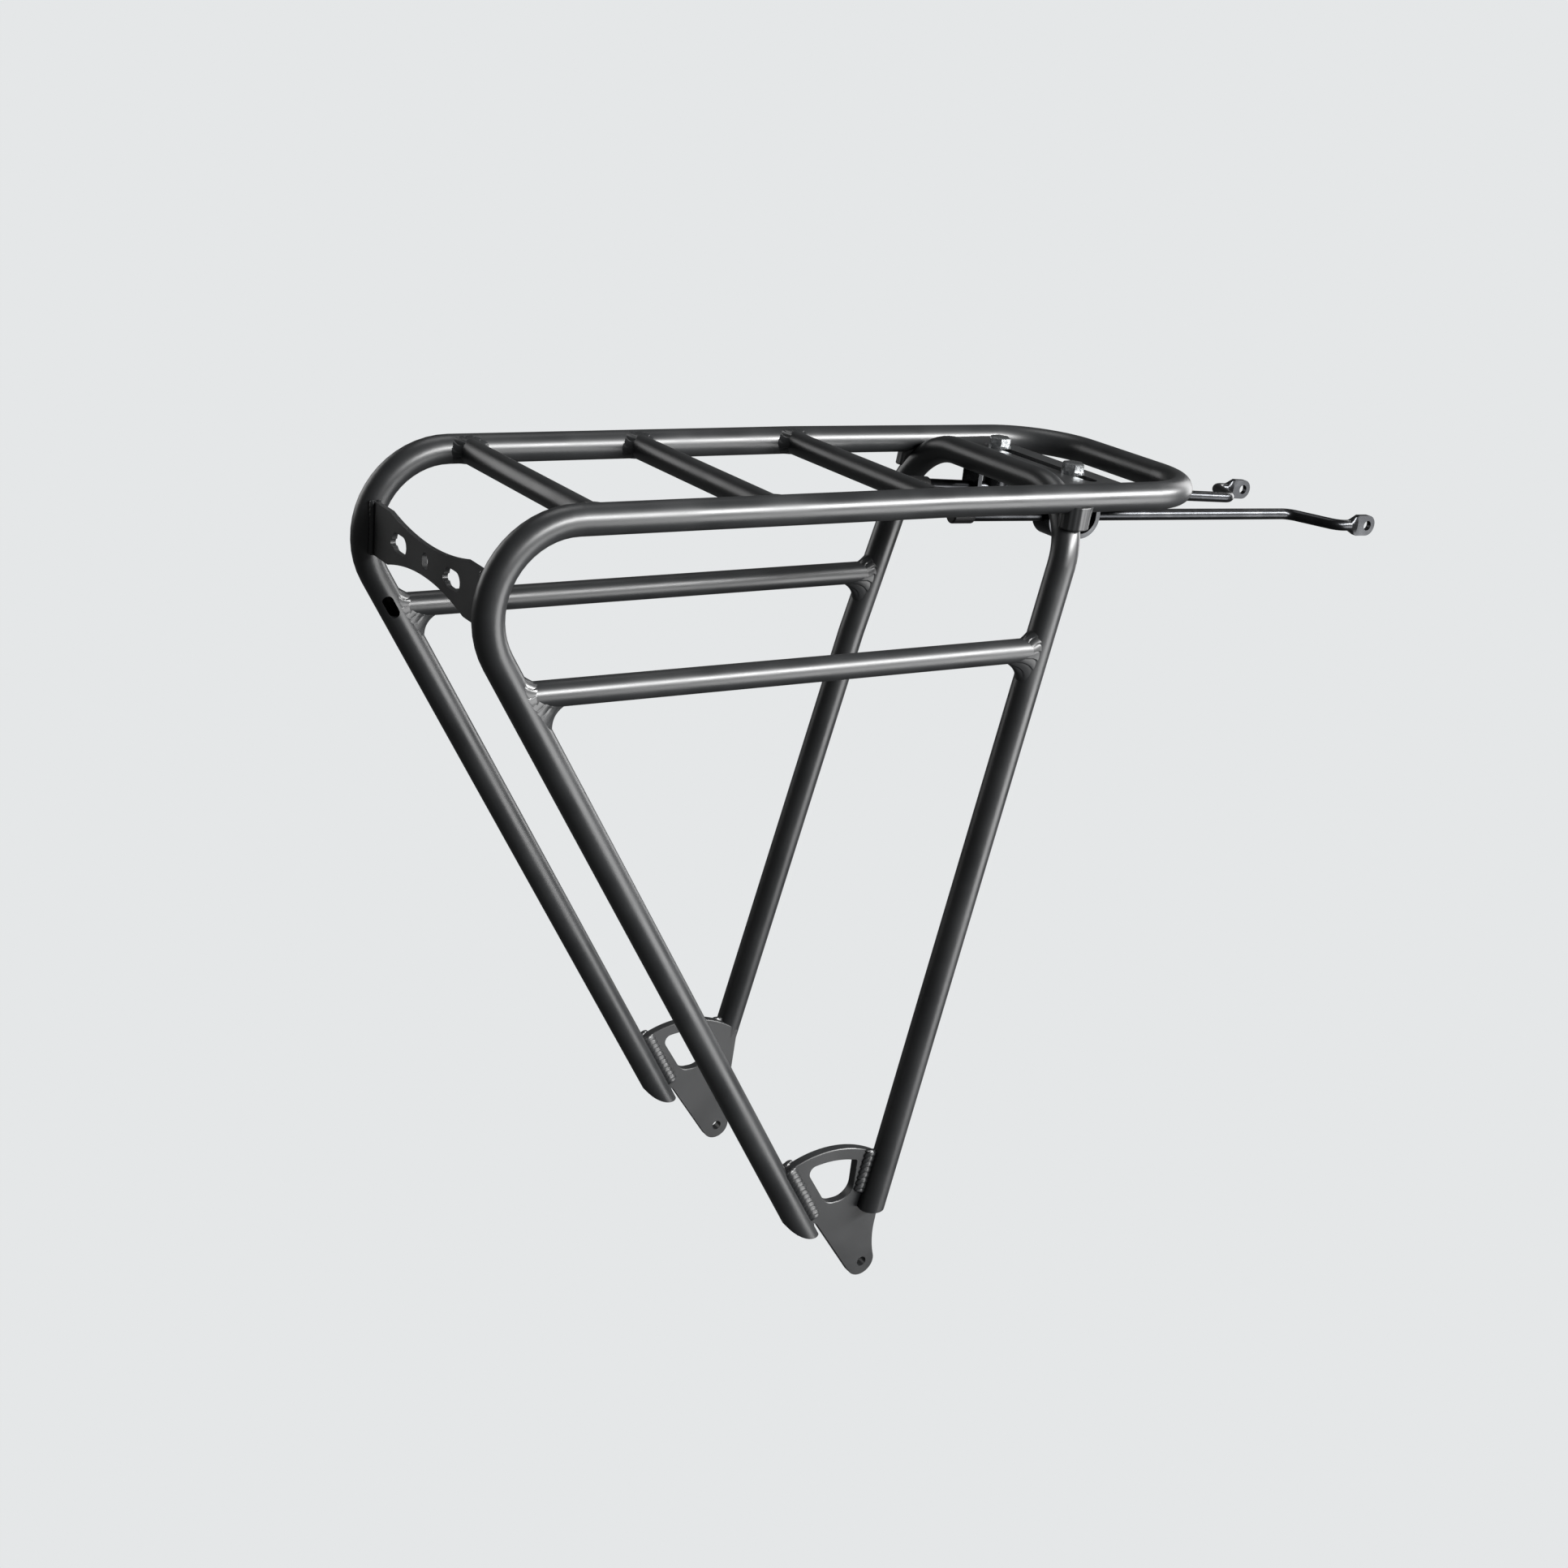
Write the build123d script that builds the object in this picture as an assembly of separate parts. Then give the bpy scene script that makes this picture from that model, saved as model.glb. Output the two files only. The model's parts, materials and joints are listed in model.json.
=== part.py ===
from build123d import *
from math import atan2, cos, degrees, radians, sin
import os

# Bicycle rear rack. One bent main tube makes the platform and the rear legs, a hoop makes
# the front legs, and cross tubes, side rails, dropout plates, a light plate and a slotted
# stay plate are welded to them. Two stay rods hang from the stay plate in sliding clamps.
# Millimetres. X points forward, Y to the bicycle's left and Z up.
# The origin lies midway between the two dropout eyelets, on their common axis.

# Tubes
main_d = 14.0           # main loop and front hoop
main_wall = 1.8
small_d = 12.0          # cross tubes and lower side rails
small_wall = 1.5

# Main loop: platform rails, front bar and rear legs
platform_z = 407.0      # rail axes above the eyelets
rail_half = 67.7        # rail axis from the middle plane
rear_corner_x = -257.6  # where the rail and rear leg axes would meet
rear_bend_r = 39.6
rear_foot_x = -22.8     # rear leg axis at the eyelets' height
nose_x = 169.0          # front bar axis
nose_bend_r = 38.9
nose_drop = 2.0         # front bar below the rest of the platform
droop_x = 1.8           # the rails slope down forward of here
droop_bend_r = 200.0
foot_arc_r = 22.0       # the closed lower end of each rear leg is an arc in side view
foot_arc_x = -32.8
foot_arc_z = 47.3

# Front hoop
hoop_foot_x = -8.3      # front leg axis at the eyelets' height
hoop_foot_splay = 6.1   # outside the middle of the dropout plate
hoop_knee_x = 56.9      # slight bend below the platform
hoop_knee_splay = 6.2   # outside the rail axis
hoop_knee_drop = 109.0  # below the rail axes
hoop_top_x = 83.0
hoop_top_splay = 0.7
hoop_top_drop = 0.3
hoop_bend_r = 36.0
hoop_knee_r = 120.0
hoop_end_z = 35.5       # open lower end of each front leg

# Cross tubes and side rails
cross_front_x = -1.1
cross_pitch = 90.0
cross_names = ["front", "middle", "rear"]
side_rail_drop = 75.0   # side rail axes below the rail axes

# Dropout plates, drawn in side view
dropout_t = 5.0
dropout_half = 76.2     # middle of the plate's thickness
eyelet_d = 5.5
dropout_arc_x = -28.0   # centre of the curved top edge
dropout_arc_z = 15.4
dropout_arc_r = 58.0
dropout_rim = 6.5       # between the top edge and the window
dropout_edge = 0.35     # bevel round the window and the upper outline
dropout_edge_z = 41.0   # lowest bevelled edge
leg_slot_gap = 0.8      # open end of the leg's slot, beside the plate
leg_slot_gap_z = 31.0   # the slot is open below this height

# Light plate between the rear bends
light_x = -226.9
light_t = 2.5
light_drop = 34.0       # middle of the slots below the rail axes
light_end_up = 12.2     # plate edges above and below the middle of the slots
light_end_down = 12.8
light_waist_up = 7.4
light_waist_down = 6.9
light_shoulder = 42.0   # half length of the waisted stretch
light_slot_half = 29.4  # slot centre from the middle plane
light_slot_l = 16.5
light_slot_w = 8.8
light_notch_r = 1.6     # notch in the left end of each slot
light_notch_down = 1.2
cable_slot_l = 8.0      # upright slot in the middle, for a light's cable
cable_slot_w = 6.0

# Cable port in the left rear leg
port_drop = 72.7        # below the rail axes
port_w = 5.4
port_l = 12.0
port_turn = 18.0        # degrees from straight inwards, towards the rear

# Slotted stay plate
stay_plate_t = 3.5
stay_plate_rise = 0.9   # top face above the rail axes
stay_plate_front = 124.8
slot_x = 111.0
slot_w = 6.5
slot_half = 45.0

# Stay clamps
bolt_d = 6.0
bolt_fit = 0.1          # diametral, shank in washer, stirrup and barrel nut
bolt_head_af = 10.0
bolt_head_h = 4.2
bolt_end_gap = 1.2      # bolt tip above the rod
washer_d = 12.0
washer_t = 1.6
stirrup_w = 14.0        # along Y
stirrup_t = 2.5
stirrup_half = 16.6     # along X, outside
stirrup_bend_r = 11.0
stirrup_drop = 11.0     # rod axis to the outside of the stirrup's base
top_bend_r = 4.0
barrel_d = 13.0
barrel_l = 12.0

# Stay rods
rod_d = 6.0
rod_fit = 0.2           # diametral, in the barrel nut
rod_drop = 21.5         # stay plate's top face to the rod axis under the bolt
rod_rear = 73.0         # bolt to the rear end, right side
rod_straight = 233.0    # rear end to the outward bend
rod_out_x = 12.5        # outward run
rod_out_y = 26.0
rod_bend_r = 8.0
lug_run = 21.5          # outward run to the lug's hole
lug_h = 11.2
lug_t = 3.0
lug_hole_d = 5.5
lug_blend = 6.0         # round rod flattens over this length
cap_d = 8.0
cap_l = 13.0
cap_end = 1.2

# Where each clamp stands along the slot, how far its rod is slid forward, and its slope
sides = {
    "right": {"sign": -1, "bolt_y": -27.0, "slid": 0.0, "slope": 2.2},
    "left": {"sign": 1, "bolt_y": 34.0, "slid": 16.5, "slope": 4.0},
}

weld = 2.6              # leg of the plates' welds
weld_big = 3.6          # leg of the tubes' welds
reach = 500.0           # longer than any cut

main_r = main_d / 2
small_r = small_d / 2
hoop_knee_z = platform_z - hoop_knee_drop
hoop_top_z = platform_z - hoop_top_drop
side_rail_z = platform_z - side_rail_drop
port_z = platform_z - port_drop
light_slot_z = platform_z - light_drop
stay_plate_top = platform_z + stay_plate_rise
rod_z = stay_plate_top - rod_drop
hoop_foot_half = dropout_half + hoop_foot_splay
hoop_knee_half = rail_half + hoop_knee_splay
hoop_top_half = rail_half + hoop_top_splay


def between(a, b, z):
    """Point of the line a to b at height z."""
    share = (z - a[2]) / (b[2] - a[2])
    return tuple(p + (q - p) * share for p, q in zip(a, b))


def rail_height(x):
    """Height of the rail axes at x."""
    return platform_z - nose_drop * max(0.0, x - droop_x) / (nose_x - droop_x)


def rear_leg(side, z):
    foot = (rear_foot_x, side * dropout_half, 0)
    corner = (rear_corner_x, side * rail_half, platform_z)
    return between(foot, corner, z)


def front_leg(side, z):
    foot = (hoop_foot_x, side * hoop_foot_half, 0)
    knee = (hoop_knee_x, side * hoop_knee_half, hoop_knee_z)
    top = (hoop_top_x, side * hoop_top_half, hoop_top_z)
    return between(foot, knee, z) if z < hoop_knee_z else between(knee, top, z)


def bent_rod(points, radii, radius):
    """Solid round bar along straight runs joined by arcs."""
    path = FilletPolyline(*points, radius=radii)
    return sweep(Plane(origin=path @ 0, z_dir=path % 0) * Circle(radius), path=path)


def main_loop(radius, foot_z=0.0):
    """Solid bar of the main loop's path, from foot to foot."""
    rail = [(rear_corner_x, rail_half, platform_z), (droop_x, rail_half, platform_z)]
    nose = (nose_x, rail_half, platform_z - nose_drop)
    right = [(x, -y, z) for x, y, z in rail + [nose]]
    left = [nose] + rail[::-1]
    points = [rear_leg(-1, foot_z)] + right + left + [rear_leg(1, foot_z)]
    radii = [rear_bend_r, droop_bend_r, nose_bend_r]
    return bent_rod(points, radii + radii[::-1], radius)


def hoop(radius, foot_z=hoop_end_z - 20):
    """Solid bar of the front hoop's path, from foot to foot."""
    knee = (hoop_knee_x, hoop_knee_half, hoop_knee_z)
    top = (hoop_top_x, hoop_top_half, hoop_top_z)
    right = [(x, -y, z) for x, y, z in (knee, top)]
    points = [front_leg(-1, foot_z)] + right + [top, knee, front_leg(1, foot_z)]
    return bent_rod(points, [hoop_knee_r, hoop_bend_r, hoop_bend_r, hoop_knee_r], radius)


def straight_rod(a, b, radius):
    return sweep(Plane(origin=a, z_dir=Vector(*b) - Vector(*a)) * Circle(radius), path=Line(a, b))


def foot_round(radius):
    """Cylinder along Y whose underside shapes the rear legs' ends."""
    roll = Cylinder(radius, 2 * reach, rotation=(90, 0, 0))
    block = Box(2 * reach, 2 * reach, 3 * reach, align=(Align.CENTER, Align.CENTER, Align.MIN))
    lean = degrees(atan2(rear_foot_x - rear_corner_x, platform_z))
    return Pos(foot_arc_x, 0, foot_arc_z) * Rot(0, -lean, 0) * (roll + block)


def side_view(sketch, y, thickness):
    """Plate standing in the XZ plane, centred on y."""
    return Pos(0, y, 0) * extrude(Plane.XZ * sketch, amount=thickness / 2, both=True)


def dropout_outline():
    """Plate outline with its window, as (x, z)."""
    tilt = (rear_foot_x - rear_corner_x) / platform_z
    inside_top = (rear_foot_x - tilt * 63.6, 63.6)
    inside_low = (rear_foot_x - tilt * 37.0, 37.0)
    front_top = (8.0, 60.9)
    boss_right = (7.3, 2.0)
    boss_left = (-6.6, -5.4)
    edge = [
        ThreePointArc(inside_top, (dropout_arc_x, dropout_arc_z + dropout_arc_r), front_top),
        Line(front_top, (6.0, 28.4)),
        ThreePointArc((6.0, 28.4), (4.9, 15.5), boss_right),
        ThreePointArc(boss_right, (3.4, -6.8), boss_left),
        Line(boss_left, (-31.8, 31.0)),
        Line((-31.8, 31.0), inside_low),
        Line(inside_low, inside_top),
    ]
    window = make_face(Polyline((-10.9, 70), (-11.6, 41.8), (-27.5, 41.8), (-45.3, 70), close=True))
    disc = Pos(dropout_arc_x, dropout_arc_z) * Circle(dropout_arc_r - dropout_rim)
    window = window & disc
    window = fillet(window.vertices().sort_by(Axis.X)[0], 4.0)
    window = fillet(window.vertices().sort_by(Axis.X)[-1], 1.0)
    window = fillet(window.vertices().sort_by(Axis.Y)[0:2].sort_by(Axis.X)[0], 8.0)
    window = fillet(window.vertices().sort_by(Axis.Y)[0:2].sort_by(Axis.X)[1], 9.0)
    return make_face(edge) - window


def dropout(side):
    y = side * dropout_half
    plate = side_view(dropout_outline(), y, dropout_t)
    edges = plate.faces().filter_by(Axis.Y).edges()
    plate = chamfer(edges.filter_by(lambda e: (e @ 0.5).Z > dropout_edge_z), dropout_edge)
    return plate - side_view(Circle(eyelet_d / 2), y, 2 * dropout_t)


def leg_slots():
    """The wider open ends of the rear legs' slots."""
    slots = []
    for side in (-1, 1):
        wide = Box(2 * reach, dropout_t + 2 * leg_slot_gap, leg_slot_gap_z + reach,
                   align=(Align.MIN, Align.CENTER, Align.MAX))
        x = rear_leg(side, leg_slot_gap_z)[0]
        slots.append(Pos(x, side * dropout_half, leg_slot_gap_z) * wide)
    return slots


def cable_port():
    """Oblong cutter that enters the left rear leg from inside the rack."""
    x, y, z = rear_leg(1, port_z)
    along = Vector(*rear_leg(1, port_z + 1)) - Vector(x, y, z)
    inwards = Vector(-sin(radians(port_turn)), -cos(radians(port_turn)), 0)
    normal = (inwards - along * (inwards.dot(along) / along.dot(along))).normalized()
    plane = Plane(origin=(x, y, z), x_dir=along.normalized(), z_dir=normal)
    return extrude(plane * SlotOverall(port_l, port_w), amount=main_d)


def main_loop_tube(dropouts):
    outer = main_loop(main_r) & foot_round(foot_arc_r)
    bore = main_loop(main_r - main_wall) & foot_round(foot_arc_r - main_wall)
    tube = outer - bore - cable_port()
    for piece in leg_slots() + dropouts:
        tube -= piece
    return tube


def front_hoop_tube(main_bar, dropouts):
    """Hoop coped round the rails and the dropout plates, with open legs."""
    below = Pos(0, 0, hoop_end_z) * Box(2 * reach, 2 * reach, 2 * reach,
                                        align=(Align.CENTER, Align.CENTER, Align.MAX))
    tube = hoop(main_r) - hoop(main_r - main_wall) - below - main_bar
    for plate in dropouts:
        tube -= plate
    return max(tube.solids(), key=lambda s: s.volume)


def cross_line(number):
    x = cross_front_x - cross_pitch * number
    z = rail_height(x)
    return (x, -rail_half, z), (x, rail_half, z)


def side_line(side):
    return rear_leg(side, side_rail_z), front_leg(side, side_rail_z)


def small_tube(line, cutters):
    """Straight tube between two axes, its ends coped to the tubes that it meets."""
    tube = straight_rod(*line, small_r) - straight_rod(*line, small_r - small_wall)
    for cutter in cutters:
        tube -= cutter
    return max(tube.solids(), key=lambda s: s.volume)


def light_plate(main_bar):
    end = rail_half
    top, low = light_slot_z + light_end_up, light_slot_z - light_end_down
    waist_top, waist_low = light_slot_z + light_waist_up, light_slot_z - light_waist_down
    edge = [
        ThreePointArc((-light_shoulder, top), (0, waist_top), (light_shoulder, top)),
        Line((light_shoulder, top), (end, top)),
        Line((end, top), (end, low)),
        Line((end, low), (light_shoulder, low)),
        ThreePointArc((light_shoulder, low), (0, waist_low), (-light_shoulder, low)),
        Line((-light_shoulder, low), (-end, low)),
        Line((-end, low), (-end, top)),
        Line((-end, top), (-light_shoulder, top)),
    ]
    sketch = make_face(edge)
    for side in (-1, 1):
        y = side * light_slot_half
        sketch -= Pos(y, light_slot_z) * SlotOverall(light_slot_l, light_slot_w)
        sketch -= Pos(y + light_slot_l / 2, light_slot_z - light_notch_down) * Circle(light_notch_r)
    sketch -= Pos(0, light_slot_z) * SlotOverall(cable_slot_l, cable_slot_w, rotation=90)
    plate = extrude(Plane.YZ * sketch, amount=light_t / 2, both=True)
    plate = Pos(light_x, 0, 0) * plate - main_bar
    return max(plate.solids(), key=lambda s: s.volume)


def stay_plate(main_bar, hoop_bar):
    rear = hoop_top_x + main_r - 0.6
    length = stay_plate_front - rear
    flat = Box(length, 2 * rail_half, stay_plate_t, align=(Align.MIN, Align.CENTER, Align.MAX))
    slot = extrude(SlotOverall(2 * slot_half, slot_w, rotation=90), amount=main_d, both=True)
    plate = Pos(rear, 0, stay_plate_top) * flat - main_bar - hoop_bar
    plate -= Pos(slot_x, 0, stay_plate_top) * slot
    return max(plate.solids(), key=lambda s: s.volume)


def weld_between(grown_a, grown_b, pieces):
    """Filler where two pieces, each grown by the weld's leg, share space outside both."""
    filler = grown_a & grown_b
    for piece in pieces:
        if not filler or not filler.solids():
            return []
        filler -= piece
    return [s for s in filler.solids() if s.volume > 1.0]


def save(name, shape):
    """One named node; several solids are kept apart in one compound."""
    solids = shape if isinstance(shape, list) else shape.solids()
    export_step(solids[0] if len(solids) == 1 else Compound(children=list(solids)),
                f"parts/{name}.step")


def rod_line(side):
    """Rod axis as a point under the bolt and a unit vector that points forward."""
    slope = radians(side["slope"])
    return Vector(slot_x, side["bolt_y"], rod_z), Vector(cos(slope), 0, -sin(slope))


def rod_hole(side, diameter):
    centre, ahead = rod_line(side)
    a = centre - ahead * 2 * stirrup_half
    b = centre + ahead * 2 * stirrup_half
    return straight_rod(tuple(a), tuple(b), diameter / 2)


def stirrup(side):
    """Strap bent to a closed D, hung under the stay plate, with the rod through its sides."""
    top = stay_plate_top - stay_plate_t
    low = rod_z - stirrup_drop
    height = top - low
    wall = stirrup_t
    outside = Pos(0, low + height / 2) * Rectangle(2 * stirrup_half, height)
    inside = Pos(0, low + height / 2) * Rectangle(2 * (stirrup_half - wall), height - 2 * wall)
    corners = outside.vertices().sort_by(Axis.Y)
    outside = fillet(corners[0:2], stirrup_bend_r)
    outside = fillet(outside.vertices().sort_by(Axis.Y)[-2:], top_bend_r)
    inside = fillet(inside.vertices().sort_by(Axis.Y)[0:2], stirrup_bend_r - wall)
    inside = fillet(inside.vertices().sort_by(Axis.Y)[-2:], top_bend_r - wall)
    strap = side_view(outside - inside, side["bolt_y"], stirrup_w)
    strap = Pos(slot_x, 0, 0) * strap
    bolt_hole = Pos(slot_x, side["bolt_y"], top) * Cylinder((bolt_d + bolt_fit) / 2, 4 * wall)
    return strap - bolt_hole - rod_hole(side, rod_d + 2 * rod_fit)


def barrel_nut(side):
    """Round nut across the rod: threaded from above, cross-drilled for the rod."""
    blank = Pos(slot_x, side["bolt_y"], rod_z) * Cylinder(barrel_d / 2, barrel_l)
    tap = Pos(slot_x, side["bolt_y"], rod_z) * Cylinder(
        (bolt_d + bolt_fit) / 2, barrel_l, align=(Align.CENTER, Align.CENTER, Align.MIN))
    return blank - tap - rod_hole(side, rod_d + rod_fit)


def clamp_bolt(side):
    seat = stay_plate_top + washer_t
    tip = rod_z + rod_d / 2 + bolt_end_gap
    head = extrude(RegularPolygon(bolt_head_af / 2, 6, major_radius=False), amount=bolt_head_h)
    head = chamfer(head.faces().sort_by(Axis.Z)[-1].edges(), 0.6)
    shank = Cylinder(bolt_d / 2, seat - tip, align=(Align.CENTER, Align.CENTER, Align.MAX))
    return Pos(slot_x, side["bolt_y"], seat) * (head + shank)


def washer(side):
    ring = Cylinder(washer_d / 2, washer_t) - Cylinder((bolt_d + bolt_fit) / 2, washer_t)
    return Pos(slot_x, side["bolt_y"], stay_plate_top + washer_t / 2) * ring


def stay_rod(side):
    """Round rod, bent outwards at the front, with a flattened and drilled lug."""
    centre, ahead = rod_line(side)
    out = Vector(0, side["sign"], 0)
    rear = centre - ahead * (rod_rear - side["slid"])
    bend = rear + ahead * rod_straight
    turn = bend + ahead * rod_out_x + out * rod_out_y
    hole = turn + ahead * lug_run
    flat = hole - ahead * (lug_run - rod_bend_r)
    points = [tuple(p) for p in (rear, bend, turn, flat)]
    rod = bent_rod(points, [rod_bend_r, rod_bend_r], rod_d / 2)
    start = Plane(origin=flat, x_dir=out, z_dir=ahead)
    wide = Plane(origin=flat + ahead * lug_blend, x_dir=out, z_dir=ahead)
    neck = loft([start * Circle(rod_d / 2), wide * Rectangle(lug_t, lug_h)])
    flank = Plane(origin=hole, x_dir=ahead, z_dir=out)
    left_over = lug_run - rod_bend_r - lug_blend
    tongue = Circle(lug_h / 2)
    if left_over > 0:
        tongue += Pos(-left_over / 2, 0) * Rectangle(left_over, lug_h)
    lug = extrude(flank * tongue, amount=lug_t / 2, both=True)
    drill = extrude(flank * Circle(lug_hole_d / 2), amount=lug_t, both=True)
    return rod + neck + lug - drill


def stay_cap(side):
    """Push-on cap over the rod's rear end."""
    centre, ahead = rod_line(side)
    rear = centre - ahead * (rod_rear - side["slid"])
    plane = Plane(origin=rear - ahead * cap_end, z_dir=ahead)
    cap = extrude(plane * Circle(cap_d / 2), amount=cap_l)
    cap = fillet(cap.edges().filter_by(GeomType.CIRCLE), 0.9)
    socket = Plane(origin=rear, z_dir=ahead)
    return cap - extrude(socket * Circle(rod_d / 2), amount=cap_l)


def frame_parts():
    main_bar = main_loop(main_r)
    hoop_bar = hoop(main_r)
    dropouts = [dropout(-1), dropout(1)]
    parts = {"dropout_right": dropouts[0], "dropout_left": dropouts[1]}
    parts["main_loop_tube"] = main_loop_tube(dropouts)
    parts["front_hoop_tube"] = front_hoop_tube(main_bar, dropouts)
    parts["light_plate"] = light_plate(main_bar)
    parts["stay_plate"] = stay_plate(main_bar, hoop_bar)
    for number, name in enumerate(cross_names):
        parts[f"cross_tube_{name}"] = small_tube(cross_line(number), [main_bar])
    for name, side in (("right", -1), ("left", 1)):
        parts[f"side_rail_{name}"] = small_tube(side_line(side), [main_bar, hoop_bar])
    parts.update(weld_parts(main_bar, hoop_bar, dropouts, parts))
    return parts


def weld_parts(main_bar, hoop_bar, dropouts, parts):
    grown_main = main_loop(main_r + weld)
    grown_hoop = hoop(main_r + weld)
    big_main = main_loop(main_r + weld_big)
    big_hoop = hoop(main_r + weld_big)
    cross, side_rails, feet = [], [], []
    for number in range(len(cross_names)):
        line = cross_line(number)
        bars = [main_bar, straight_rod(*line, small_r)]
        cross += weld_between(big_main, straight_rod(*line, small_r + weld_big), bars)
    for side, plate in ((-1, dropouts[0]), (1, dropouts[1])):
        line = side_line(side)
        rail, grown_rail = straight_rod(*line, small_r), straight_rod(*line, small_r + weld_big)
        ends = weld_between(big_main, grown_rail, [main_bar, rail])
        ends += weld_between(big_hoop, grown_rail, [hoop_bar, rail])
        side_rails += ends
        thick = side_view(dropout_outline(), side * dropout_half, dropout_t + 2 * weld)
        above = Pos(0, 0, hoop_end_z + weld) * Box(
            2 * reach, 2 * reach, 2 * reach, align=(Align.CENTER, Align.CENTER, Align.MIN))
        feet += weld_between(grown_main & above, thick, [main_bar, plate, hoop_bar])
        feet += weld_between(grown_hoop & above, thick, [main_bar, plate, hoop_bar])
    hoop_welds = weld_between(big_main, big_hoop, [main_bar, hoop_bar, parts["stay_plate"]])
    light = Box(light_t + 2 * weld, 2 * rail_half, light_end_up + light_end_down,
                align=(Align.CENTER, Align.CENTER, Align.MIN))
    light = Pos(light_x, 0, light_slot_z - light_end_down) * light
    light_welds = weld_between(grown_main, light, [main_bar, parts["light_plate"]])
    return {"cross_tube_welds": cross, "side_rail_welds": side_rails, "dropout_welds": feet,
            "hoop_welds": hoop_welds, "light_plate_welds": light_welds}


def stay_parts():
    parts = {}
    for name, side in sides.items():
        parts[f"stirrup_{name}"] = stirrup(side)
        parts[f"barrel_nut_{name}"] = barrel_nut(side)
        parts[f"clamp_bolt_{name}"] = clamp_bolt(side)
        parts[f"washer_{name}"] = washer(side)
        parts[f"stay_rod_{name}"] = stay_rod(side)
        parts[f"stay_cap_{name}"] = stay_cap(side)
    return parts


os.makedirs("parts", exist_ok=True)
for node, shape in {**frame_parts(), **stay_parts()}.items():
    save(node, shape)
    print(node)
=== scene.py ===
import json
from math import cos, pi, radians, sin, sqrt

import bpy
import numpy as np
from mathutils import Matrix, Vector


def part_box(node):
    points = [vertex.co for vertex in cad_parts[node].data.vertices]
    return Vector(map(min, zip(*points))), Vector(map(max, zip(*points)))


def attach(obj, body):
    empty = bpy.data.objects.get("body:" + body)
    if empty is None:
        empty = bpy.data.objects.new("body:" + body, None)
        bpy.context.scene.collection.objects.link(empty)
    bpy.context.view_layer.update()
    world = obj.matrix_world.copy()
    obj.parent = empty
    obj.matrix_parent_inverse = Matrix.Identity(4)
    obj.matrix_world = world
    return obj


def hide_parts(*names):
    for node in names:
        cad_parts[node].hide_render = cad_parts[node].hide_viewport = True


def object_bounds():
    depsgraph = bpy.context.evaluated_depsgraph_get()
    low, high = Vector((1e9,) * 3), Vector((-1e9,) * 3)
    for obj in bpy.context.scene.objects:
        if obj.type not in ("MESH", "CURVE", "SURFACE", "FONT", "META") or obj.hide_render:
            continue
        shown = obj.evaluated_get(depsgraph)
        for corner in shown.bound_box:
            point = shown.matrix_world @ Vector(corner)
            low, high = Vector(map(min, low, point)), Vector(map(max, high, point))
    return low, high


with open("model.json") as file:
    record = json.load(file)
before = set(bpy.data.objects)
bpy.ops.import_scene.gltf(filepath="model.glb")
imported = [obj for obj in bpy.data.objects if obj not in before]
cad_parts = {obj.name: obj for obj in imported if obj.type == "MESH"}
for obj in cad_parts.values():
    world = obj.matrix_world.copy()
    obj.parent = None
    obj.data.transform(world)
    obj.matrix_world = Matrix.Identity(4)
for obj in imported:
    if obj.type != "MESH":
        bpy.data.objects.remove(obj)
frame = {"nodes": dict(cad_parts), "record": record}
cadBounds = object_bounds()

# Bicycle rear rack: the tubes, plates and fittings are the frame's own nodes with new finishes,
# and the weld beads are worked out here along the seams between them.
# Places are in millimetres, +X forward, +Y to the bicycle's left, +Z up. Meshes are made in metres.
millimetre = 0.001
nodes = frame["nodes"]
print("stage 1: frame loaded,", len(nodes), "nodes")


camera = {
    "aim": (-10.5, 24.5, 233.9),   # point straight ahead of the lens
    "distance": 1090.0,
    "azimuth": 34.06,              # degrees behind the rack's right side
    "elevation": 20.4,
    "roll": 5.88,
    "lens": 47.59,
    "sensor": 36.0,
    "nearest": 0.01,               # clip start, metres
}


# The camera looks back along the line at its azimuth and elevation, then rolls about that line.
def placeCamera(size):
    az, el, roll = radians(size["azimuth"]), radians(size["elevation"]), radians(size["roll"])
    back = Vector((-sin(az) * cos(el), -cos(az) * cos(el), sin(el)))
    level = Vector((cos(az), -sin(az), 0))
    upright = back.cross(level)
    right = level * cos(roll) + upright * sin(roll)
    up = upright * cos(roll) - level * sin(roll)
    data = bpy.data.cameras.new("camera")
    data.lens = size["lens"]
    data.sensor_width = size["sensor"]
    data.clip_start = size["nearest"]
    viewer = bpy.data.objects.new("camera", data)
    bpy.context.scene.collection.objects.link(viewer)
    viewer.matrix_world = Matrix((
        (right.x, up.x, back.x, (size["aim"][0] + back.x * size["distance"]) * millimetre),
        (right.y, up.y, back.y, (size["aim"][1] + back.y * size["distance"]) * millimetre),
        (right.z, up.z, back.z, (size["aim"][2] + back.z * size["distance"]) * millimetre),
        (0, 0, 0, 1)))
    bpy.context.scene.camera = viewer


# Each softbox: its direction from the rack's middle, its distance and sides in metres, and watts
softBoxes = {
    "keyBox": {"towards": (0.52, -0.72, 0.46), "distance": 2.2, "sides": (2.6, 0.28), "watts": 165},
    "lowBox": {"towards": (0.62, -0.74, -0.22), "distance": 2.4, "sides": (1.6, 1.1), "watts": 38},
    "rimBox": {"towards": (0.95, 0.25, 0.20), "distance": 2.2, "sides": (0.7, 1.6), "watts": 18},
    "farBox": {"towards": (-0.45, 0.85, 0.25), "distance": 2.6, "sides": (1.8, 1.4), "watts": 16},
    "topBox": {"towards": (0.10, 0.30, 1.00), "distance": 2.4, "sides": (1.0, 1.0), "watts": 8},
}
rackMiddle = Vector((0.0, 0.0, 0.25))


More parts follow.
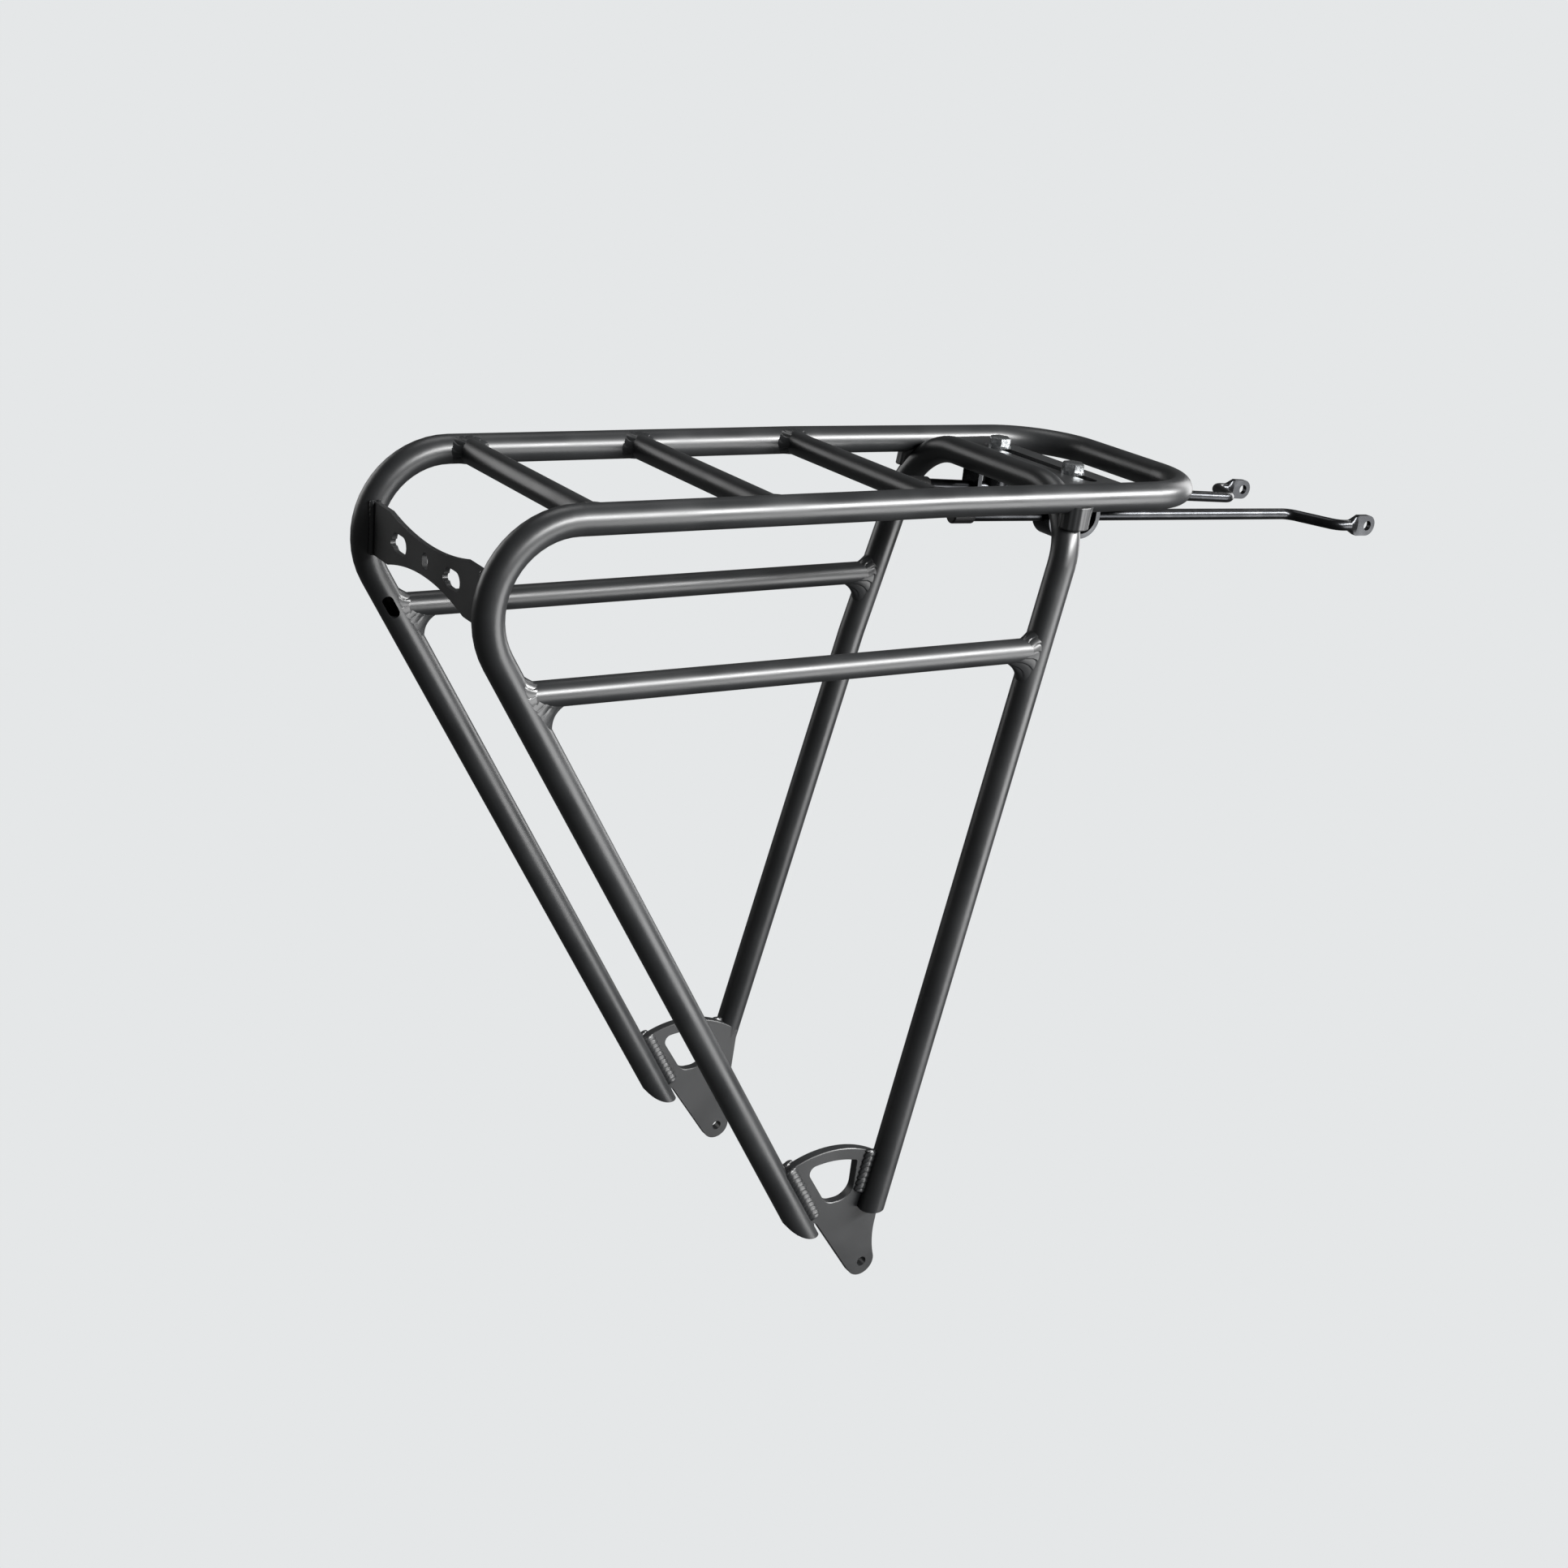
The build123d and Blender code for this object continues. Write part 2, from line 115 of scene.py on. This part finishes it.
# Rectangular area lights that face the rack's middle, their long side level.
def placeSoftBoxes(boxes):
    for name, box in boxes.items():
        data = bpy.data.lights.new(name, "AREA")
        data.shape = "RECTANGLE"
        data.size, data.size_y = box["sides"]
        data.energy = box["watts"]
        lamp = bpy.data.objects.new(name, data)
        bpy.context.scene.collection.objects.link(lamp)
        towards = Vector(box["towards"]).normalized()
        lamp.location = rackMiddle + towards * box["distance"]
        lamp.rotation_euler = towards.to_track_quat("Z", "Y").to_euler()


# sRGB hex to the linear values that the shaders take.
def hexColour(code):
    parts = np.array([int(code[i:i + 2], 16) for i in (1, 3, 5)]) / 255
    linear = np.where(parts <= 0.04045, parts / 12.92, ((parts + 0.055) / 1.055) ** 2.4)
    return (*linear.tolist(), 1.0)


# One node: attributes by name, socket values by name or number, and links {socket: (node, output)}.
def addNode(tree, kind, settings=None, inputs=None, links=None):
    node = tree.nodes.new(kind)
    for key, value in (settings or {}).items():
        setattr(node, key, value)
    for key, value in (inputs or {}).items():
        node.inputs[key].default_value = value
    for key, (source, output) in (links or {}).items():
        tree.links.new(source.outputs[output], node.inputs[key])
    return node


# Colour ramp from {position: hex colour}.
def setRamp(ramp, stops):
    elements = ramp.color_ramp.elements
    while len(elements) < len(stops):
        elements.new(0.5)
    for element, (position, code) in zip(elements, sorted(stops.items())):
        element.position = position
        element.color = hexColour(code)


def newMaterial(name):
    material = bpy.data.materials.new(name)
    material.use_nodes = True
    material.node_tree.nodes.clear()
    return material, material.node_tree


# Noise scale whose features are about this many millimetres, with Object coordinates in metres.
def perMillimetre(size):
    return 1000 / size


anodised = {
    "colour": "#1c1d1e",
    "shade": "#232425",
    "roughness": (0.32, 0.42),   # from rubbed to untouched
    "grain": 0.25,               # etched grain before anodising, mm, drawn coarser than the real 0.05
    "grainHeight": 0.006,        # mm
    "cloud": 30.0,               # slow change of tone along a tube, mm
}


# Bead-blasted, black-anodised aluminium: a soft, even satin that turns grey where it faces the light,
# with a grain too fine to see singly and slow clouds of handling.
def anodisedAluminium(name, size, extraRough=0.0):
    material, tree = newMaterial(name)
    place = addNode(tree, "ShaderNodeTexCoord")
    cloud = addNode(tree, "ShaderNodeTexNoise",
                    inputs={"Scale": perMillimetre(size["cloud"]), "Detail": 3.0},
                    links={"Vector": (place, "Object")})
    grain = addNode(tree, "ShaderNodeTexNoise",
                    inputs={"Scale": perMillimetre(size["grain"]), "Detail": 2.0},
                    links={"Vector": (place, "Object")})
    tone = addNode(tree, "ShaderNodeValToRGB", links={"Fac": (cloud, "Fac")})
    setRamp(tone, {0.35: size["colour"], 0.70: size["shade"]})
    low, high = size["roughness"]
    rough = addNode(tree, "ShaderNodeMapRange",
                    inputs={"From Min": 0.3, "From Max": 0.7,
                            "To Min": low + extraRough, "To Max": high + extraRough},
                    links={"Value": (cloud, "Fac")})
    bump = addNode(tree, "ShaderNodeBump",
                   inputs={"Strength": 0.5, "Distance": size["grainHeight"] * millimetre},
                   links={"Height": (grain, "Fac")})
    shader = addNode(tree, "ShaderNodeBsdfPrincipled",
                     inputs={"Metallic": 0.0, "IOR": 1.6, "Specular IOR Level": 0.5},
                     links={"Base Color": (tone, "Color"), "Roughness": (rough, "Result"),
                            "Normal": (bump, "Normal")})
    addNode(tree, "ShaderNodeOutputMaterial", links={"Surface": (shader, "BSDF")})
    return material


zinc = {
    "colour": "#c9ccce",
    "dull": "#8e9193",
    "roughness": (0.16, 0.34),
    "spangle": 1.2,      # dulled patches, mm
    "depth": 0.03,       # mm
}


# Bright zinc-plated steel: mirror-like with dull patches where the plating is thin or handled.
def zincPlatedSteel(size):
    material, tree = newMaterial("zincPlatedSteel")
    place = addNode(tree, "ShaderNodeTexCoord")
    patch = addNode(tree, "ShaderNodeTexNoise",
                    inputs={"Scale": perMillimetre(size["spangle"]), "Detail": 4.0},
                    links={"Vector": (place, "Object")})
    tone = addNode(tree, "ShaderNodeValToRGB", links={"Fac": (patch, "Fac")})
    setRamp(tone, {0.38: size["colour"], 0.66: size["dull"]})
    low, high = size["roughness"]
    rough = addNode(tree, "ShaderNodeMapRange", inputs={"To Min": low, "To Max": high},
                    links={"Value": (patch, "Fac")})
    bump = addNode(tree, "ShaderNodeBump",
                   inputs={"Strength": 0.4, "Distance": size["depth"] * millimetre},
                   links={"Height": (patch, "Fac")})
    shader = addNode(tree, "ShaderNodeBsdfPrincipled", inputs={"Metallic": 1.0},
                     links={"Base Color": (tone, "Color"), "Roughness": (rough, "Result"),
                            "Normal": (bump, "Normal")})
    addNode(tree, "ShaderNodeOutputMaterial", links={"Surface": (shader, "BSDF")})
    return material


# draw: width of the draw marks in mm, wider than the real ones so that they show.
# wear: size of the rubbed patches, mm. depth: of the marks, mm.
blackSteel = {"colour": "#222325", "worn": "#4a4b4d", "roughness": (0.20, 0.32),
              "draw": 0.5, "stretch": 0.06, "depth": 0.01, "wear": 9.0}
drawnRod = {"colour": "#2e2f31", "worn": "#454648", "roughness": (0.25, 0.34),
            "draw": 0.5, "stretch": 0.06, "depth": 0.01, "wear": 9.0}


# Black zinc or nickel plate on drawn steel: dark and glossy, with fine draw marks and a little wear.
def blackPlatedSteel(name, size, metallic=0.75):
    material, tree = newMaterial(name)
    place = addNode(tree, "ShaderNodeTexCoord")
    stretch = addNode(tree, "ShaderNodeMapping", inputs={"Scale": (size["stretch"], 1.0, 1.0)},
                      links={"Vector": (place, "Object")})
    marks = addNode(tree, "ShaderNodeTexNoise",
                    inputs={"Scale": perMillimetre(size["draw"]), "Detail": 2.0},
                    links={"Vector": (stretch, "Vector")})
    wear = addNode(tree, "ShaderNodeTexNoise",
                   inputs={"Scale": perMillimetre(size["wear"]), "Detail": 5.0},
                   links={"Vector": (place, "Object")})
    tone = addNode(tree, "ShaderNodeValToRGB", links={"Fac": (wear, "Fac")})
    setRamp(tone, {0.45: size["colour"], 0.85: size["worn"]})
    low, high = size["roughness"]
    rough = addNode(tree, "ShaderNodeMapRange", inputs={"To Min": low, "To Max": high},
                    links={"Value": (marks, "Fac")})
    bump = addNode(tree, "ShaderNodeBump",
                   inputs={"Strength": 0.3, "Distance": size["depth"] * millimetre},
                   links={"Height": (marks, "Fac")})
    shader = addNode(tree, "ShaderNodeBsdfPrincipled", inputs={"Metallic": metallic},
                     links={"Base Color": (tone, "Color"), "Roughness": (rough, "Result"),
                            "Normal": (bump, "Normal")})
    addNode(tree, "ShaderNodeOutputMaterial", links={"Surface": (shader, "BSDF")})
    return material


capPlastic = {
    "colour": "#151516",
    "roughness": (0.48, 0.62),
    "spark": 0.35,       # texture left by the mould, mm
    "depth": 0.02,       # mm
}


# Dip-moulded polyethylene end cap: dull black with a fine spark-eroded texture.
def mouldedPolyethylene(size):
    material, tree = newMaterial("mouldedPolyethylene")
    place = addNode(tree, "ShaderNodeTexCoord")
    spark = addNode(tree, "ShaderNodeTexVoronoi", inputs={"Scale": perMillimetre(size["spark"])},
                    links={"Vector": (place, "Object")})
    low, high = size["roughness"]
    rough = addNode(tree, "ShaderNodeMapRange", inputs={"To Min": low, "To Max": high},
                    links={"Value": (spark, "Distance")})
    bump = addNode(tree, "ShaderNodeBump",
                   inputs={"Strength": 0.4, "Distance": size["depth"] * millimetre},
                   links={"Height": (spark, "Distance")})
    shader = addNode(tree, "ShaderNodeBsdfPrincipled",
                     inputs={"Base Color": hexColour(size["colour"]), "IOR": 1.51},
                     links={"Roughness": (rough, "Result"), "Normal": (bump, "Normal")})
    addNode(tree, "ShaderNodeOutputMaterial", links={"Surface": (shader, "BSDF")})
    return material


tubes = {
    "mainRadius": 7.0,
    "smallRadius": 6.0,
    "railHalf": 67.7,
    "railHeight": 407.0,
    "rearFoot": (-22.8, 76.2, 0.0),       # rear leg axis, left side
    "rearCorner": (-257.6, 67.7, 407.0),
    "frontFoot": (-8.3, 82.3, 0.0),       # front leg axis up to its knee, left side
    "frontKnee": (56.9, 73.9, 298.0),
    "frontTop": (83.0, 68.4, 406.7),
    "plateMiddle": 76.2,                  # dropout plate
    "plateHalf": 2.5,
}


# Vectors divided by their own lengths.
def unit(vectors):
    vectors = np.asarray(vectors, float)
    return vectors / np.linalg.norm(vectors, axis=-1, keepdims=True)


# Dot product over the last axis, which is kept.
def dot(a, b):
    return (a * b).sum(-1, keepdims=True)


# Quads of a grid of points numbered row by row, joined up in either way where it is closed.
def gridFaces(rows, columns, closedRows=True, closedColumns=True):
    i = np.arange(rows if closedRows else rows - 1)
    j = np.arange(columns if closedColumns else columns - 1)
    i, j = np.meshgrid(i, j, indexing="ij")
    i2, j2 = (i + 1) % rows, (j + 1) % columns
    corners = [i * columns + j, i2 * columns + j, i2 * columns + j2, i * columns + j2]
    return np.stack(corners, -1).reshape(-1, 4)


# One object from [(points in mm, faces)], its normals turned outwards.
def makePiece(name, parts, material):
    points, faces, count = [], [], 0
    for partPoints, partFaces in parts:
        points.append(np.asarray(partPoints).reshape(-1, 3))
        faces += [tuple(int(n) + count for n in face) for face in partFaces]
        count += len(points[-1])
    mesh = bpy.data.meshes.new(name)
    mesh.from_pydata((np.concatenate(points) * millimetre).tolist(), [], faces)
    mesh.validate()
    piece = bpy.data.objects.new(name, mesh)
    bpy.context.scene.collection.objects.link(piece)
    bpy.context.view_layer.objects.active = piece
    piece.select_set(True)
    bpy.ops.object.mode_set(mode="EDIT")
    bpy.ops.mesh.select_all(action="SELECT")
    bpy.ops.mesh.normals_make_consistent(inside=False)
    bpy.ops.object.mode_set(mode="OBJECT")
    piece.select_set(False)
    mesh.shade_smooth()
    mesh.materials.append(material)
    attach(piece, "rack")
    return piece


puddle = {"trail": 0.55, "length": 0.95, "middle": 0.55}   # shares of one ripple's pitch and height
sunk = 0.25     # how far a weld's edges lie inside the tubes' walls, so that no gap shows
buried = 1.0    # how far a weld's hidden inner line lies inside both walls
uneven = {"slow": 0.10, "quick": 0.06}   # shares of a weld's size, so that no two look the same


# Height of a weld's ripples: a row of overlapping round puddles, each a raised arc that trails backwards
# towards the bead's sides and drops sharply into the next one.
def scallops(along, across, pitch, height):
    phase = (along / pitch + puddle["trail"] * across ** 2) % 1.0
    return height * (np.sqrt(np.clip(1 - (phase * puddle["length"]) ** 2, 0, 1)) - puddle["middle"])


# Fillet weld right round a tube that ends on another. Each station is an angle about the branch: the
# seam is where the branch's wall meets the run's, and the skin is a curve from a point up the branch to
# a point out along the run, pulled towards the seam, with ripples standing on it.
def ringWeld(meet, branch, run, branchRadius, runRadius, size):
    stations, across = size["stations"], size["across"]
    branch, run, meet = unit(branch), unit(run), np.asarray(meet, float)
    side = unit(np.cross(branch, run))
    other = np.cross(side, branch)
    angle = np.linspace(0, 2 * pi, stations, endpoint=False)[:, None]
    radial = np.cos(angle) * other + np.sin(angle) * side
    q = branchRadius * (radial - dot(radial, run) * run)
    g = branch - dot(branch, run) * run
    qg, gg = dot(q, g), (g * g).sum()
    rise = (-qg + np.sqrt(np.maximum(qg ** 2 - gg * (dot(q, q) - runRadius ** 2), 0))) / gg
    seam = meet + branchRadius * radial + rise * branch
    fromAxis = seam - meet
    normal = unit(fromAxis - dot(fromAxis, run) * run)
    outward = unit(radial - dot(radial, normal) * normal)
    low = 0.5 + 0.5 * dot(radial, np.array((0, 0, -1.0)))      # 1 under the branch, 0 above it
    wobble = 1 + uneven["slow"] * np.sin(3 * angle + meet[0]) \
        + uneven["quick"] * np.sin(7 * angle + meet[1])
    reach = (size["leg"] + size["gusset"] * low ** 4) * wobble
    start = seam + branch * reach - radial * sunk
    spread = seam + outward * reach * size["spread"] - meet
    end = meet + dot(spread, run) * run + (runRadius - sunk) * unit(spread - dot(spread, run) * run)
    t = np.linspace(0, 1, across)[None, :, None]
    control = seam * (1 - size["fill"]) + (start + end) / 2 * size["fill"]
    skin = (1 - t) ** 2 * start[:, None] + 2 * t * (1 - t) * control[:, None] + t ** 2 * end[:, None]
    behind = seam - radial * branchRadius * 0.5 - normal * 2.0      # a point well inside the joint
    outwards = unit((start + end) / 2 - behind)[:, None]
    along = np.cumsum(np.linalg.norm(np.roll(seam, -1, 0) - seam, axis=-1))[:, None, None]
    pitch = along[-1, 0, 0] / max(1, round(along[-1, 0, 0] / size["pitch"]))
    skin = skin + outwards * scallops(along, 2 * t - 1, pitch, size["ripple"]) * np.sin(pi * t) ** 0.5
    under = (seam - radial * buried - normal * buried)[:, None]
    grid = np.concatenate([skin, under], 1)
    return grid, gridFaces(stations, across + 1)


# Bead along an open seam: a round profile carried along the path, its radius swelling with every puddle
# and closing to a point at both ends. sideways is any direction across the path.
def beadAlong(path, sideways, size):
    path = np.asarray(path, float)
    steps = np.linalg.norm(np.diff(path, axis=0), axis=-1)
    total = steps.sum()
    count = max(24, int(total / size["step"]))
    along = np.linspace(0, total, count)
    placed = np.concatenate([[0], np.cumsum(steps)])
    points = np.stack([np.interp(along, placed, path[:, k]) for k in range(3)], -1)
    tangent = unit(np.gradient(points, axis=0))
    a = unit(np.cross(tangent, np.asarray(sideways, float)))
    b = np.cross(tangent, a)
    angle = np.linspace(0, 2 * pi, size["around"], endpoint=False)[None, :]
    fromEnd = np.minimum(along, total - along)[:, None]
    taper = np.sqrt(np.clip(1 - (1 - np.clip(fromEnd / size["radius"], 0, 1)) ** 2, 0.0004, 1))
    pitch = total / max(1, round(total / size["pitch"]))
    wave = scallops(along[:, None], np.cos(angle), pitch, size["ripple"])
    radius = (size["radius"] + wave) * taper
    ring = points[:, None] + a[:, None] * (radius * np.cos(angle) * size["wide"])[..., None] \
        + b[:, None] * (radius * np.sin(angle))[..., None]
    faces = gridFaces(count, size["around"], closedRows=False).tolist()
    faces.append(list(range(size["around"])))
    faces.append(list(range((count - 1) * size["around"], count * size["around"])))
    return ring, faces


# A point of the left side, moved to the right one where side is -1.
def mirrored(point, side):
    return np.array((point[0], point[1] * side, point[2]), float)


# Point of a leg's straight axis at a height.
def legAt(foot, top, side, height):
    a, b = mirrored(foot, side), mirrored(top, side)
    return a + (b - a) * (height - a[2]) / (b[2] - a[2])


crossWeld = {"leg": 4.2, "gusset": 0.0, "spread": 0.9, "fill": 0.55, "pitch": 2.9, "ripple": 0.7,
             "stations": 200, "across": 14}


# A ring weld at both ends of each cross tube, on the rail's inner side.
def crossTubeBeads(size, material):
    parts = []
    for node in ("cross_tube_front", "cross_tube_middle", "cross_tube_rear"):
        low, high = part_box(node)
        x, z = (low.x + high.x) / 2 / millimetre, (low.z + high.z) / 2 / millimetre
        for side in (-1, 1):
            meet = (x, side * tubes["railHalf"], z)
            parts.append(ringWeld(meet, (0, -side, 0), (1, 0, 0),
                                  tubes["smallRadius"], tubes["mainRadius"], size))
    piece = makePiece("crossTubeBeads", parts, material)
    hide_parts("cross_tube_welds")


sideWeld = {"leg": 4.0, "gusset": 6.0, "spread": 1.0, "fill": 0.55, "pitch": 2.9, "ripple": 0.55,
            "stations": 220, "across": 16}


# A ring weld at both ends of each side rail, drawn out below into a small gusset.
def sideRailBeads(size, material):
    parts = []
    low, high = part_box("side_rail_left")
    height = (low.z + high.z) / 2 / millimetre
    for side in (-1, 1):
        rear = legAt(tubes["rearFoot"], tubes["rearCorner"], side, height)
        front = legAt(tubes["frontKnee"], tubes["frontTop"], side, height)
        rearRun = mirrored(tubes["rearCorner"], side) - mirrored(tubes["rearFoot"], side)
        frontRun = mirrored(tubes["frontTop"], side) - mirrored(tubes["frontKnee"], side)
        for meet, branch, run in ((rear, front - rear, rearRun), (front, rear - front, frontRun)):
            parts.append(ringWeld(meet, branch, run, tubes["smallRadius"], tubes["mainRadius"], size))
    piece = makePiece("sideRailBeads", parts, material)
    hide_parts("side_rail_welds")


collar = {
    "low": 392.0,        # height of the collar's lower lip
    "lip": 0.5,          # how far the lip stands off the leg
    "flareFront": 3.0,   # spread forwards along the rail
    "flareRear": 0.3,
    "flareAcross": 0.2,
    "lean": 0.4,         # share of the leg's own lean that the collar keeps
    "lipDrop": 0.35,     # the lip's rounding below its edge
    "lipTuck": 1.6,      # how far the lip's underside goes in, in lips
    "slowWave": 0.012,   # unevenness of the ground skin, share of its radius
    "quickWave": 0.01,
    "below": 4.0,        # top of the skin below the rail axis, inside the rail
    "core": 4.0,         # radius of the hidden inner wall, inside the leg
    "coreShift": 5.0,    # how far forward the hidden wall leans at its top
    "stations": 120,
    "across": 24,
}


# Smoothed weld between each front leg and the rail above it. Each station is an angle about the leg: the
# skin leaves the leg at a small lip and swings out along the rail in a quarter curve.
def hoopCollars(size, material):
    parts = []
    angle = np.linspace(0, 2 * pi, size["stations"], endpoint=False)[:, None]
    t = np.linspace(0, 1, size["across"])[None, :]
    for side in (-1, 1):
        axis = legAt(tubes["frontKnee"], tubes["frontTop"], side, size["low"])
        lean = unit(mirrored(tubes["frontTop"], side) - mirrored(tubes["frontKnee"], side))
        radius = tubes["mainRadius"] + size["lip"]
        top = tubes["railHeight"] - size["below"]
        climb = (top - size["low"]) * t
        swing = 1 - np.sqrt(np.clip(1 - t ** 2, 0, 1))
        wave = 1 + size["slowWave"] * np.sin(9 * angle) + size["quickWave"] * np.sin(17 * angle + 2)
        forward = np.clip(np.cos(angle), 0, 1) ** 2
        flare = size["flareRear"] + (size["flareFront"] - size["flareRear"]) * forward
        reachX = (radius + flare * swing) * wave
        reachY = (radius + size["flareAcross"] * swing) * wave
        x = axis[0] + size["lean"] * lean[0] / lean[2] * climb + reachX * np.cos(angle)
        y = axis[1] + (lean[1] / lean[2] * climb) + reachY * np.sin(angle)
        z = size["low"] + climb + 0 * angle
        skin = np.stack([x, y, z], -1)
        tuck, core = size["lip"] * size["lipTuck"], size["core"]
        lip = np.stack([x[:, :1] - tuck * np.cos(angle), y[:, :1] - tuck * np.sin(angle),
                        z[:, :1] - size["lipDrop"]], -1)
        hiddenTop = np.stack([axis[0] + size["coreShift"] + core * np.cos(angle),
                              axis[1] + core * np.sin(angle), top + 0 * angle], -1)
        hiddenLow = np.stack([axis[0] + core * np.cos(angle),
                              axis[1] + core * np.sin(angle), size["low"] + 1 + 0 * angle], -1)
        grid = np.concatenate([lip, skin, hiddenTop, hiddenLow], 1)
        parts.append((grid, gridFaces(size["stations"], size["across"] + 3)))
    piece = makePiece("hoopCollars", parts, material)
    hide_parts("hoop_welds")


dropoutWeld = {
    "radius": 1.4,
    "wide": 2.3,         # width of the bead, in radii
    "pitch": 3.3,
    "ripple": 0.95,
    "step": 0.22,
    "around": 22,
    "offset": 1.9,       # from the leg's wall to the middle of the bead
    "proud": 0.3,        # middle of the bead outside the plate's face
    "margin": 0.6,       # a face this near the leg's side gets no bead
    "rear": (31.5, 64.5),     # heights between which the bead runs
    "front": (42.5, 67.0),
}


# Beads up both faces of each dropout plate where it enters the legs.
def dropoutBeads(size, material):
    parts = []
    for side in (-1, 1):
        for face in (-1, 1):
            y = side * tubes["plateMiddle"] + face * (tubes["plateHalf"] + size["proud"])
            for foot, top, toPlate, (low, high) in (
                    (tubes["rearFoot"], tubes["rearCorner"], 1, size["rear"]),
                    (tubes["frontFoot"], tubes["frontKnee"], -1, size["front"])):
                axis = legAt(foot, top, side, low), legAt(foot, top, side, high)
                along = unit(axis[1] - axis[0])
                across = np.array((along[2], 0, -along[0])) * toPlate
                off = [y - point[1] for point in axis]
                if max(abs(value) for value in off) > tubes["mainRadius"] - size["margin"]:
                    continue
                path = [point + across * (sqrt(tubes["mainRadius"] ** 2 - value ** 2) + size["offset"])
                        for point, value in zip(axis, off)]
                for point in path:
                    point[1] = y
                parts.append(beadAlong(path, (0, 1, 0), size))
    piece = makePiece("dropoutBeads", parts, material)
    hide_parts("dropout_welds")


lightWeld = {
    "radius": 1.5,
    "wide": 1.0,
    "pitch": 2.4,
    "ripple": 0.4,
    "step": 0.22,
    "around": 18,
    "past": 0.6,         # how far the bead runs past the plate's edges
    "proud": 0.2,        # middle of the bead outside the plate's face
    "offWall": 0.3,      # middle of the bead off the tube's wall
}


# A bead down each face of the light plate where it butts on the rear bends.
def lightPlateBeads(size, material):
    low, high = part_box("light_plate")
    back, front = low.x / millimetre, high.x / millimetre
    bottom, top = low.z / millimetre, high.z / millimetre
    inner = tubes["railHalf"] - tubes["mainRadius"] + size["offWall"]
    parts = []
    for side in (-1, 1):
        for x in (back - size["proud"], front + size["proud"]):
            seam = [(x, side * inner, bottom - size["past"]), (x, side * inner, top + size["past"])]
            parts.append(beadAlong(seam, (0, 1, 0), size))
    piece = makePiece("lightPlateBeads", parts, material)
    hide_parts("light_plate_welds")


floorDisc = {"radius": 1.2, "fade": (0.35, 1.1), "corners": 96}   # metres


# A round pale floor that fades into the backdrop, self-lit so that it stays even.
def paleFloor(size, level):
    material, tree = newMaterial("paleBackdropPaper")
    place = addNode(tree, "ShaderNodeTexCoord")
    distance = addNode(tree, "ShaderNodeVectorMath", {"operation": "LENGTH"},
                       links={0: (place, "Object")})
    fade = addNode(tree, "ShaderNodeMapRange", {"interpolation_type": "SMOOTHSTEP"},
                   inputs={"From Min": size["fade"][0], "From Max": size["fade"][1]},
                   links={"Value": (distance, "Value")})
    glow = addNode(tree, "ShaderNodeEmission", inputs={"Color": hexColour(backdrop)})
    clear = addNode(tree, "ShaderNodeBsdfTransparent")
    edge = addNode(tree, "ShaderNodeMixShader", links={0: (fade, "Result"), 1: (glow, 0), 2: (clear, 0)})
    addNode(tree, "ShaderNodeOutputMaterial", links={"Surface": (edge, 0)})
    angle = np.linspace(0, 2 * pi, size["corners"], endpoint=False)
    ring = np.stack([size["radius"] * np.cos(angle), size["radius"] * np.sin(angle),
                     np.full(size["corners"], level)], -1)
    mesh = bpy.data.meshes.new("floor")
    mesh.from_pydata(ring.tolist(), [], [list(range(size["corners"]))])
    mesh.materials.append(material)
    floor = bpy.data.objects.new("floor", mesh)
    bpy.context.scene.collection.objects.link(floor)
    floor.visible_glossy = False
    floor.visible_diffuse = False
    floor.visible_shadow = False


backdrop = "#e5e7e8"
roomLight = {"colour": "#e5e7e8", "strength": 0.10}


# Even pale backdrop, with a dimmer room around the rack for its reflections.
def backdropWorld(light):
    world = bpy.data.worlds.new("studio")
    bpy.context.scene.world = world
    world.use_nodes = True
    tree = world.node_tree
    tree.nodes.clear()
    path = addNode(tree, "ShaderNodeLightPath")
    seen = addNode(tree, "ShaderNodeBackground", inputs={"Color": hexColour(backdrop)})
    felt = addNode(tree, "ShaderNodeBackground",
                   inputs={"Color": hexColour(light["colour"]), "Strength": light["strength"]})
    both = addNode(tree, "ShaderNodeMixShader",
                   links={0: (path, "Is Camera Ray"), 1: (felt, 0), 2: (seen, 0)})
    addNode(tree, "ShaderNodeOutputWorld", links={"Surface": (both, 0)})
    bpy.context.scene.view_settings.view_transform = "Standard"


tubeFinish = anodisedAluminium("satinAnodisedTube", anodised)
plateFinish = anodisedAluminium("satinAnodisedPlate", anodised, extraRough=0.04)
weldFinish = anodisedAluminium("anodisedWeldBead", anodised, extraRough=-0.04)
zincFinish = zincPlatedSteel(zinc)
strapFinish = blackPlatedSteel("blackPlatedStrap", blackSteel)
rodFinish = blackPlatedSteel("blackPlatedRod", drawnRod, metallic=0.9)
capFinish = mouldedPolyethylene(capPlastic)
finishes = {"tube": tubeFinish, "plate": plateFinish, "weld": weldFinish, "zinc": zincFinish,
            "strap": strapFinish, "rod": rodFinish, "cap": capFinish}
slotOf = {part["node"]: part["material_slot"] for part in frame["record"]["subparts"]}
for node, thing in nodes.items():
    thing.data.materials.clear()
    thing.data.materials.append(finishes[slotOf[node]])
print("stage 2: finishes on every node")

crossTubeBeads(crossWeld, weldFinish)
sideRailBeads(sideWeld, weldFinish)
hoopCollars(collar, tubeFinish)
dropoutBeads(dropoutWeld, weldFinish)
lightPlateBeads(lightWeld, weldFinish)
print("stage 3: weld beads")

placeCamera(camera)
placeSoftBoxes(softBoxes)
backdropWorld(roomLight)
paleFloor(floorDisc, cadBounds[0][2])
print("stage 4: camera, light and floor")
